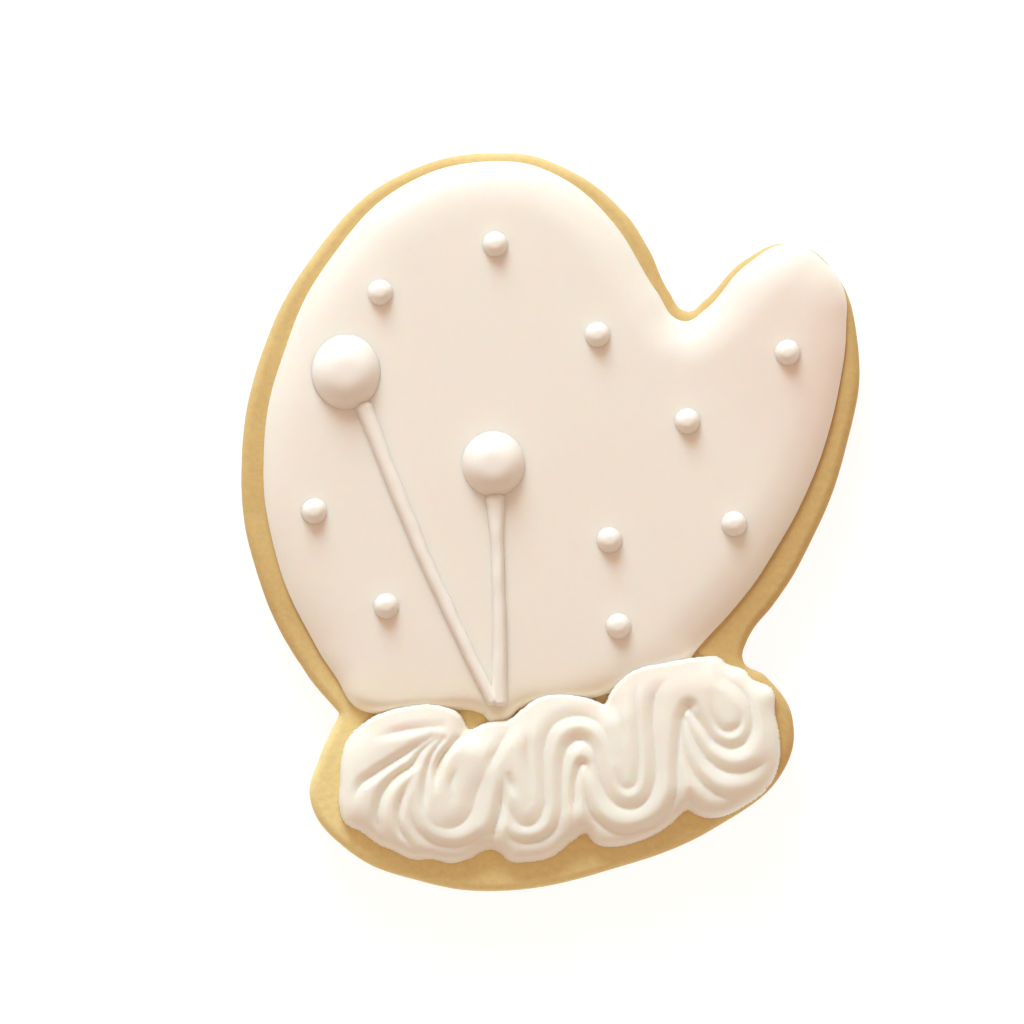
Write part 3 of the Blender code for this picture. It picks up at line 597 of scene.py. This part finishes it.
def baked_dough():
    """Baked sugar dough: a dry, finely grained biscuit, golden on top and browner on the tray side.

    Its grains of sugar are about 0.45 mm, and light goes a little way into it. Its top carries
    painted light and shade: pale at the cuff, darker up the hand and at the cuff's right end."""
    settings = bpy.context.scene.cookie_dough
    material, tree, shader, place = new_material("Baked sugar dough")
    patches = add_node(
        tree, "ShaderNodeTexNoise",
        {"Vector": place, "Scale": pattern(9 * MM), "Detail": 3.0, "Roughness": 0.55},
    )
    grain = add_node(
        tree, "ShaderNodeTexNoise",
        {"Vector": place, "Scale": pattern(0.45 * MM), "Detail": 4.0, "Roughness": 0.65},
    )
    # Painted light and shade: the cuff stays pale where the border's shadow falls, and the hand and
    # the right end of the cuff are painted darker, as painted shade.
    place_x, place_y, height = add_node(tree, "ShaderNodeSeparateXYZ", {"Vector": place}).outputs
    to_right = add_node(tree, "ShaderNodeMath", {0: place_x, 1: 0.0}, operation="MAXIMUM")
    slanted = add_node(
        tree, "ShaderNodeMath",
        {0: to_right.outputs["Value"], 1: SHADE_SLANT, 2: place_y},
        operation="MULTIPLY_ADD",
    )
    shading_up_hand = add_node(
        tree, "ShaderNodeMapRange",
        {"Value": slanted.outputs["Value"], "From Min": -32 * MM, "From Max": -14 * MM,
         "To Max": 0.8},
        interpolation_type="SMOOTHSTEP",
    )
    patchy = add_node(
        tree, "ShaderNodeMapRange",
        {"Value": patches.outputs["Fac"], "From Min": 0.3, "From Max": 0.7, "To Min": -0.2,
         "To Max": 0.2},
    )
    painted_shading = add_node(
        tree, "ShaderNodeMath",
        {0: to_right.outputs["Value"], 1: RIGHT_SHADE / CUFF_REACH, 2: shading_up_hand.outputs["Result"]},
        operation="MULTIPLY_ADD",
    )
    painted_shading_and_patches = add_node(
        tree, "ShaderNodeMath",
        {0: painted_shading.outputs["Value"], 1: patchy.outputs["Result"]},
        operation="ADD",
        use_clamp=True,
    )
    top = add_node(
        tree, "ShaderNodeMix",
        {
            "Factor": painted_shading_and_patches.outputs["Value"],
            "A": (*settings.crumb, 1),
            "B": (*settings.baked, 1),
        },
        data_type="RGBA",
    )
    # The side is browner towards the tray.
    tray_side = add_node(
        tree, "ShaderNodeMapRange",
        {"Value": height, "From Min": 3.4 * MM, "From Max": 0.2 * MM},
        interpolation_type="SMOOTHSTEP",
    )
    whole = add_node(
        tree, "ShaderNodeMix",
        {
            "Factor": tray_side.outputs["Result"],
            "A": top.outputs["Result"],
            "B": (*settings.tray, 1),
        },
        data_type="RGBA",
    )
    speck = add_node(
        tree, "ShaderNodeMapRange",
        {"Value": grain.outputs["Fac"], "From Min": 0.3, "From Max": 0.7, "To Min": 0.93,
         "To Max": 1.05},
    )
    grained = add_node(
        tree, "ShaderNodeMix",
        {"Factor": 1.0, "A": whole.outputs["Result"], "B": speck.outputs["Result"]},
        data_type="RGBA",
        blend_type="MULTIPLY",
    )
    rough = add_node(
        tree, "ShaderNodeMapRange",
        {"Value": grain.outputs["Fac"], "To Min": 0.7, "To Max": 0.9},
    )
    bump = add_node(
        tree, "ShaderNodeBump",
        {"Height": grain.outputs["Fac"], "Distance": 0.12 * MM, "Strength": 0.6},
    )
    tree.links.new(grained.outputs["Result"], shader.inputs["Base Color"])
    tree.links.new(rough.outputs["Result"], shader.inputs["Roughness"])
    tree.links.new(bump.outputs["Normal"], shader.inputs["Normal"])
    shader.inputs["Specular IOR Level"].default_value = 0.3
    shader.inputs["Subsurface Weight"].default_value = 0.15
    shader.inputs["Subsurface Radius"].default_value = (1.0, 0.5, 0.2)
    shader.inputs["Subsurface Scale"].default_value = 0.8 * MM
    return material


def icing_look(started, tone, gloss, ripple, shine, depth):
    """Royal icing that has set: a dense sugar paste with a soft satin skin.

    Light goes about a millimetre into it, so its shadows turn warm. Its sugar is ground far finer
    than 0.25 mm, and is drawn that coarse so that it shows. It takes what new_material gave and
    the tone's socket; the ripple is the size of the slow waves on its skin."""
    material, tree, shader, place = started
    swell = add_node(
        tree, "ShaderNodeTexNoise",
        {"Vector": place, "Scale": pattern(ripple), "Detail": 2.0, "Roughness": 0.5},
    )
    powder = add_node(
        tree, "ShaderNodeTexNoise",
        {"Vector": place, "Scale": pattern(0.25 * MM), "Detail": 2.0, "Roughness": 0.6},
    )
    rough = add_node(
        tree, "ShaderNodeMapRange",
        {"Value": powder.outputs["Fac"], "To Min": gloss - 0.05, "To Max": gloss + 0.05},
    )
    wave = add_node(
        tree, "ShaderNodeBump",
        {"Height": swell.outputs["Fac"], "Distance": 0.08 * MM, "Strength": 0.5},
    )
    skin_bump = add_node(
        tree, "ShaderNodeBump",
        {
            "Height": powder.outputs["Fac"],
            "Distance": 0.02 * MM,
            "Strength": 0.3,
            "Normal": wave.outputs["Normal"],
        },
    )
    tree.links.new(tone, shader.inputs["Base Color"])
    tree.links.new(rough.outputs["Result"], shader.inputs["Roughness"])
    tree.links.new(skin_bump.outputs["Normal"], shader.inputs["Normal"])
    shader.inputs["Specular IOR Level"].default_value = shine
    shader.inputs["Subsurface Weight"].default_value = depth
    shader.inputs["Subsurface Radius"].default_value = (1.0, 0.55, 0.35)
    shader.inputs["Subsurface Scale"].default_value = 1.6 * MM
    return material


def flood_icing():
    """Flooded royal icing, ivory, with a blush on the thumb and a buttery tint along the cuff."""
    settings = bpy.context.scene.cookie_icing
    started = new_material("Flooded royal icing")
    _, tree, _, place = started
    split = add_node(tree, "ShaderNodeSeparateXYZ", {"Vector": place})
    from_blush = add_node(
        tree, "ShaderNodeVectorMath", {0: place, 1: BLUSH_CENTRE}, operation="DISTANCE"
    )
    blush = add_node(
        tree, "ShaderNodeMapRange",
        {"Value": from_blush.outputs["Value"], "From Min": 22 * MM, "From Max": 3 * MM},
        interpolation_type="SMOOTHSTEP",
    )
    rosy = add_node(
        tree, "ShaderNodeMix",
        {
            "Factor": blush.outputs["Result"],
            "A": (*settings.ivory, 1),
            "B": (*settings.blush, 1),
        },
        data_type="RGBA",
    )
    thin = add_node(
        tree, "ShaderNodeMapRange",
        {"Value": split.outputs["Y"], "From Min": -17 * MM, "From Max": -25 * MM},
        interpolation_type="SMOOTHSTEP",
    )
    tinted = add_node(
        tree, "ShaderNodeMix",
        {
            "Factor": thin.outputs["Result"],
            "A": rosy.outputs["Result"],
            "B": (*settings.butter_and_shade, 1),
        },
        data_type="RGBA",
    )
    tone = tinted.outputs["Result"]
    return icing_look(started, tone, gloss=0.34, ripple=14 * MM, shine=0.8, depth=0.6)


def piped_icing(name, tone, gloss, ripple, depth, shine=0.5, butter_and_shade=None):
    """Stiff royal icing, piped, in one tone with faint drifts of it.

    A second tone, darker and warmer, is painted on the border's side towards the hand as painted
    shade."""
    started = new_material(name)
    _, tree, _, place = started
    base = (*tone, 1)
    if butter_and_shade:
        # Painted shade: the side towards the hand takes the darker, warmer tone.
        split = add_node(tree, "ShaderNodeSeparateXYZ", {"Vector": place})
        slanted = add_node(
            tree, "ShaderNodeMath",
            {0: split.outputs["X"], 1: -BORDER_SLANT, 2: split.outputs["Y"]},
            operation="MULTIPLY_ADD",
        )
        shade_towards_hand = add_node(
            tree, "ShaderNodeMapRange",
            {"Value": slanted.outputs[0], "From Min": -29 * MM, "From Max": -22 * MM},
            interpolation_type="SMOOTHSTEP",
        )
        base = add_node(
            tree, "ShaderNodeMix",
            {"Factor": shade_towards_hand.outputs["Result"], "A": base, "B": (*butter_and_shade, 1)},
            data_type="RGBA",
        ).outputs["Result"]
    drift = add_node(
        tree, "ShaderNodeTexNoise",
        {"Vector": place, "Scale": pattern(3 * MM), "Detail": 2.0, "Roughness": 0.5},
    )
    fainter = add_node(
        tree, "ShaderNodeMapRange",
        {"Value": drift.outputs["Fac"], "To Min": 0.965, "To Max": 1.0},
    )
    drifting = add_node(
        tree, "ShaderNodeMix",
        {"Factor": 1.0, "A": base, "B": fainter.outputs["Result"]},
        data_type="RGBA",
        blend_type="MULTIPLY",
    )
    return icing_look(started, drifting.outputs["Result"], gloss, ripple, shine, depth)


def pale_floor(tone):
    """A pale sweep, evenly lit from below so that it stays nearly white under the cookie."""
    material, tree, shader, _ = new_material("Pale floor")
    shader.inputs["Base Color"].default_value = (*(0.2 * channel for channel in tone), 1)
    shader.inputs["Roughness"].default_value = 0.9
    shader.inputs["Specular IOR Level"].default_value = 0.0
    shader.inputs["Emission Color"].default_value = (*tone, 1)
    shader.inputs["Emission Strength"].default_value = 0.95
    return material


# ---- operators ----


class COOKIE_OT_dough(bpy.types.Operator):
    """Add the rolled and baked dough"""

    bl_idname = "cookie.dough"
    bl_label = "Dough"

    def execute(self, context):
        settings = context.scene.cookie_dough
        outline = smooth_outline(DOUGH_OUTLINE, DOUGH_CORNERS, EDGE_STEPS)
        waves = stray(outline, DOUGH_EDGE_WAVE, SEEDS["dough_edge"])
        outline = inward(outline, settings.unevenness * (1 - waves))
        middle = np.array(DOUGH_CENTRE) * MM
        rings = []
        foot_edge = inward(outline, settings.foot)
        for share in DOUGH_UNDER_SHARES:
            rings.append(at_height(middle + share * (foot_edge - middle), 0))
        for angle in np.linspace(0, math.pi / 2, DOUGH_FOOT_RINGS)[:-1]:
            depth = settings.foot * (1 - math.sin(angle))
            height = settings.foot * (1 - math.cos(angle))
            rings.append(at_height(inward(outline, depth), height))
        wall_top = DOUGH_TOP - settings.shoulder
        for height in np.linspace(settings.foot, wall_top, DOUGH_WALL_RINGS)[:-1]:
            rings.append(at_height(outline, height))
        for angle in np.linspace(0, math.pi / 2, DOUGH_SHOULDER_RINGS):
            depth = settings.shoulder * (1 - math.cos(angle))
            height = wall_top + settings.shoulder * math.sin(angle)
            rings.append(at_height(inward(outline, depth), height))
        top_edge = inward(outline, settings.shoulder)
        for share in np.linspace(1, 0, DOUGH_TOP_RINGS)[1:]:
            rings.append(at_height(middle + share * (top_edge - middle), DOUGH_TOP))
        mesh = bmesh.new()
        skin(mesh, np.array(rings))
        places = np.array([vertex.co for vertex in mesh.verts])
        swells = stray(places, DOUGH_SWELL_SIZE, SEEDS["dough_swell"])
        dimples = stray(places, DOUGH_DIMPLE_SIZE, SEEDS["dough_dimple"])
        mesh.normal_update()
        for vertex, rise in zip(mesh.verts, swells + DOUGH_DIMPLE_SHARE * dimples):
            lifted = np.clip((vertex.co.z - settings.foot) / wall_top, 0, 1)
            vertex.co -= vertex.normal * settings.unevenness * lifted * (0.5 + 0.5 * rise)
        finish(mesh, "baked_dough", "dough", baked_dough())
        return {"FINISHED"}


class COOKIE_OT_icing(bpy.types.Operator):
    """Add the flooded icing"""

    bl_idname = "cookie.icing"
    bl_label = "Flooded icing"

    def execute(self, context):
        outline = smooth_outline(ICING_OUTLINE, (), ICING_SPOKES)
        waves = stray(outline, ICING_EDGE_WAVE, SEEDS["icing_edge"])
        outline = inward(outline, ICING_EDGE_SHIFT - ICING_EDGE_STRAY * waves)
        middle = np.array(ICING_CENTRE) * MM
        reach = np.linalg.norm(outline - middle, axis=1).max()
        near = np.array(ICING_RIM_RINGS) * MM
        shares = np.concatenate([1 - near / reach, np.linspace(*ICING_TOP_SHARES)])
        over, under = [], []
        for share in shares:
            ring = middle + share * (outline - middle)
            over.append(at_height(ring, icing_surface(ring)))
        for share in ICING_UNDER_SHARES:
            ring = middle + share * (outline - middle)
            under.append(at_height(ring, dough_surface(ring) - ICING_SINK))
        mesh = bmesh.new()
        skin(mesh, np.array(under[::-1] + over))
        top = [vertex for vertex in mesh.verts if vertex.co.z > DOUGH_TOP + ICING_SMOOTH_FROM]
        for _ in range(ICING_SMOOTHINGS):
            bmesh.ops.smooth_vert(
                mesh, verts=top, factor=0.5, use_axis_x=False, use_axis_y=False, use_axis_z=True
            )
        places = np.array([vertex.co for vertex in top])
        swells = stray(places, ICING_SWELL_SIZE, SEEDS["icing_swell"])
        for vertex, rise in zip(top, swells):
            vertex.co.z -= ICING_SWELL * (1 + rise)
        finish(mesh, "flood_icing", "icing", flood_icing())
        return {"FINISHED"}


class COOKIE_OT_border(bpy.types.Operator):
    """Add the fluted border piped along the cuff"""

    bl_idname = "cookie.border"
    bl_label = "Piped border"

    def execute(self, context):
        settings = context.scene.cookie_border
        outline = smooth_outline(BORDER_OUTLINE, BORDER_CORNERS, BORDER_EDGE_STEPS)
        low, high = outline.min(axis=0), outline.max(axis=0)
        cells = np.ceil((high - low) / BORDER_CELL).astype(int)
        size = cells * BORDER_CELL
        mesh = bmesh.new()
        bmesh.ops.create_grid(mesh, x_segments=cells[0], y_segments=cells[1], size=0.5)
        bmesh.ops.scale(mesh, verts=mesh.verts, vec=(*size, 1))
        bmesh.ops.translate(mesh, verts=mesh.verts, vec=(*(low + size / 2), 0))
        points = np.array([vertex.co[:2] for vertex in mesh.verts])
        points, inside = onto_edge(points, outline, BORDER_SNAP * BORDER_CELL)
        outside = [vertex for vertex, kept in zip(mesh.verts, inside) if not kept]
        bmesh.ops.delete(mesh, geom=outside, context="VERTS")
        points = points[inside]
        depth = soft_depth(points, outline[::BORDER_DEPTH_STEP])
        height = border_height(points, depth)
        side = [vertex for vertex, deep in zip(mesh.verts, depth) if deep < BORDER_SOFT_FOOT]
        for vertex, point, rise in zip(mesh.verts, points, height):
            vertex.co = (*point, DOUGH_TOP + rise)
        rim = [edge for edge in mesh.edges if edge.is_boundary]
        walls = bmesh.ops.extrude_edge_only(mesh, edges=rim)["geom"]
        foot = [item for item in walls if isinstance(item, bmesh.types.BMVert)]
        for vertex in foot:
            vertex.co.z = DOUGH_TOP - BORDER_SINK
        for _ in range(BORDER_SMOOTHINGS):
            bmesh.ops.smooth_vert(
                mesh, verts=side, factor=0.5, use_axis_x=True, use_axis_y=True, use_axis_z=True
            )
        rim = [edge for edge in mesh.edges if edge.is_boundary]
        bmesh.ops.holes_fill(mesh, edges=rim)
        look = piped_icing(
            "Piped border icing", settings.cream, gloss=0.5, ripple=1.6 * MM, depth=0.7,
            shine=0.2, butter_and_shade=settings.butter_and_shade,
        )
        finish(mesh, "piped_border", "border", look)
        return {"FINISHED"}


class COOKIE_OT_beads(bpy.types.Operator):
    """Add the piped dots and pops"""

    bl_idname = "cookie.beads"
    bl_label = "Dots and pops"

    def execute(self, context):
        settings = context.scene.cookie_piping
        look = piped_icing(
            "Piped dot icing", settings.white, gloss=0.5, ripple=4 * MM, depth=0.15
        )
        beads = [
            (f"pop_{side}", x, y, half_width * MM, half_length * MM, POP_TOP)
            for side, (x, y, half_width, half_length) in POPS.items()
        ]
        for number, (x, y) in enumerate(DOTS, start=1):
            radius = settings.dot_radius
            beads.append((f"dot_{number:02d}", x, y, radius, radius, DOT_TOP))
        for node, x, y, half_width, half_length, top in beads:
            place = Vector((x * MM, y * MM, 0))
            place.z = icing_surface(np.array([place[:2]]))[0] - PIPED_SINK
            self.bead(node, place, (half_width, half_length, top - ICING_TOP), look)
        return {"FINISHED"}

    def bead(self, node, place, size, look):
        """A low dome with a broad top, never quite round.

        Its size is its half width, half length and height."""
        mesh = bmesh.new()
        bmesh.ops.create_uvsphere(
            mesh, u_segments=BEAD_SEGMENTS, v_segments=BEAD_RINGS, radius=1
        )
        everything = mesh.verts[:] + mesh.edges[:] + mesh.faces[:]
        cut = bmesh.ops.bisect_plane(mesh, geom=everything, plane_no=(0, 0, 1), clear_inner=True)
        rim = [item for item in cut["geom_cut"] if isinstance(item, bmesh.types.BMEdge)]
        bmesh.ops.holes_fill(mesh, edges=rim)
        for vertex in mesh.verts:
            vertex.co.z = piped(vertex.co.xy.length) if vertex.co.z > BEAD_FOOT else 0
        bmesh.ops.scale(mesh, verts=mesh.verts, vec=size)
        bmesh.ops.translate(mesh, verts=mesh.verts, vec=place)
        places = np.array([vertex.co for vertex in mesh.verts])
        lumps = stray(places, BEAD_LUMP_SIZE * size[0], SEEDS["beads"])
        mesh.normal_update()
        for vertex, lump in zip(mesh.verts, lumps):
            vertex.co += vertex.normal * BEAD_LUMP * size[0] * (lump - BEAD_LUMP_SHIFT)
        finish(mesh, f"piped_{node}", node, look)


class COOKIE_OT_sticks(bpy.types.Operator):
    """Add the piped lines that run from the pops down to the border"""

    bl_idname = "cookie.sticks"
    bl_label = "Sticks"

    def execute(self, context):
        settings = context.scene.cookie_piping
        look = piped_icing(
            "Piped line icing", settings.white, gloss=0.5, ripple=2.5 * MM, depth=0.15
        )
        for side, table in STICKS.items():
            line = even(np.array(table) * MM, STICK_RINGS)
            route, half_width = line[:, :2], line[:, 2]
            seeds = [SEEDS[f"stick_{side}"] + step for step in STICK_SEED_STEPS]
            route = route + STICK_STRAY * np.column_stack(
                [stray(route, STICK_STRAY_SIZE, seed) for seed in seeds[:2]]
            )
            swelling = stray(route, STICK_SWELL_SIZE, seeds[2])
            rising = stray(route, STICK_RISE_SIZE, seeds[3])
            half_width = half_width * (1 + STICK_SWELL * swelling)
            height = settings.stick_height * (1 + STICK_RISE * rising)
            floor = np.maximum(icing_surface(route), ICING_TOP - STICK_DROP) - PIPED_SINK
            mesh = bmesh.new()
            sweep(mesh, route, half_width, floor, height, STICK_SIDES)
            finish(mesh, f"piped_stick_{side}", f"stick_{side}", look)
        return {"FINISHED"}


class COOKIE_OT_stage(bpy.types.Operator):
    """Add the floor, the soft studio light and the camera straight above"""

    bl_idname = "cookie.stage"
    bl_label = "Stage"

    def execute(self, context):
        scene = context.scene
        settings = scene.cookie_stage
        mesh = bmesh.new()
        bmesh.ops.create_circle(
            mesh, cap_ends=True, segments=FLOOR_SIDES, radius=FLOOR_RADIUS
        )
        data = bpy.data.meshes.new("floor")
        mesh.to_mesh(data)
        mesh.free()
        data.materials.append(pale_floor(settings.floor))
        floor = bpy.data.objects.new("floor", data)
        scene.collection.objects.link(floor)

        self.softbox("key light", KEY_PLACE, KEY_SIZE, KEY_POWER, settings.key)

        world = bpy.data.worlds.new("Studio")
        world.use_nodes = True
        tree = world.node_tree
        sky = tree.nodes["Background"]
        sky.inputs["Color"].default_value = (*settings.fill, 1)
        sky.inputs["Strength"].default_value = FILL_STRENGTH
        rays = add_node(tree, "ShaderNodeLightPath")
        backdrop = add_node(tree, "ShaderNodeBackground", {"Color": (*settings.floor, 1)})
        seen = add_node(
            tree, "ShaderNodeMixShader",
            {0: rays.outputs["Is Camera Ray"], 1: sky.outputs[0], 2: backdrop.outputs[0]},
        )
        tree.links.new(seen.outputs[0], tree.nodes["World Output"].inputs["Surface"])
        scene.world = world

        camera = bpy.data.cameras.new("camera")
        camera.lens = settings.lens
        camera.sensor_width = SENSOR_WIDTH
        holder = bpy.data.objects.new("camera", camera)
        away = settings.view_width * settings.lens / SENSOR_WIDTH
        holder.location = (*CAMERA_CENTRE, CAMERA_LEVEL + away)
        scene.collection.objects.link(holder)
        scene.camera = holder
        scene.view_settings.view_transform = "Standard"
        return {"FINISHED"}

    def softbox(self, name, place, size, power, tone):
        """A square soft light that faces the cookie."""
        light = bpy.data.lights.new(name, "AREA")
        light.shape = "SQUARE"
        light.size = size
        light.energy = power
        light.color = tone
        lamp = bpy.data.objects.new(name, light)
        lamp.location = place
        lamp.rotation_euler = (-Vector(place)).to_track_quat("-Z", "Y").to_euler()
        lamp.visible_camera = False
        bpy.context.scene.collection.objects.link(lamp)


SETTINGS = {
    "cookie_dough": DoughSettings,
    "cookie_icing": IcingSettings,
    "cookie_border": BorderSettings,
    "cookie_piping": PipingSettings,
    "cookie_stage": StageSettings,
}

STEPS = (
    COOKIE_OT_dough,
    COOKIE_OT_icing,
    COOKIE_OT_border,
    COOKIE_OT_beads,
    COOKIE_OT_sticks,
    COOKIE_OT_stage,
)


class COOKIE_PT_panel(bpy.types.Panel):
    """Lists the settings and the steps that build the cookie"""

    bl_idname = "COOKIE_PT_panel"
    bl_label = "Iced Mitten Cookie"
    bl_space_type = "VIEW_3D"
    bl_region_type = "UI"
    bl_category = "Cookie"

    def draw(self, context):
        for name, group in SETTINGS.items():
            box = self.layout.box()
            box.label(text=group.__name__.replace("Settings", ""))
            for setting in group.__annotations__:
                box.prop(getattr(context.scene, name), setting)
        for step in STEPS:
            self.layout.operator(step.bl_idname)


def register():
    for name, group in SETTINGS.items():
        bpy.utils.register_class(group)
        setattr(bpy.types.Scene, name, PointerProperty(type=group))
    for step in (*STEPS, COOKIE_PT_panel):
        bpy.utils.register_class(step)


def unregister():
    for step in (COOKIE_PT_panel, *reversed(STEPS)):
        bpy.utils.unregister_class(step)
    for name, group in reversed(SETTINGS.items()):
        delattr(bpy.types.Scene, name)
        bpy.utils.unregister_class(group)


def main():
    register()
    bpy.ops.cookie.dough()
    bpy.ops.cookie.icing()
    bpy.ops.cookie.border()
    bpy.ops.cookie.beads()
    bpy.ops.cookie.sticks()
    bpy.ops.cookie.stage()


if __name__ == "__main__":
    main()
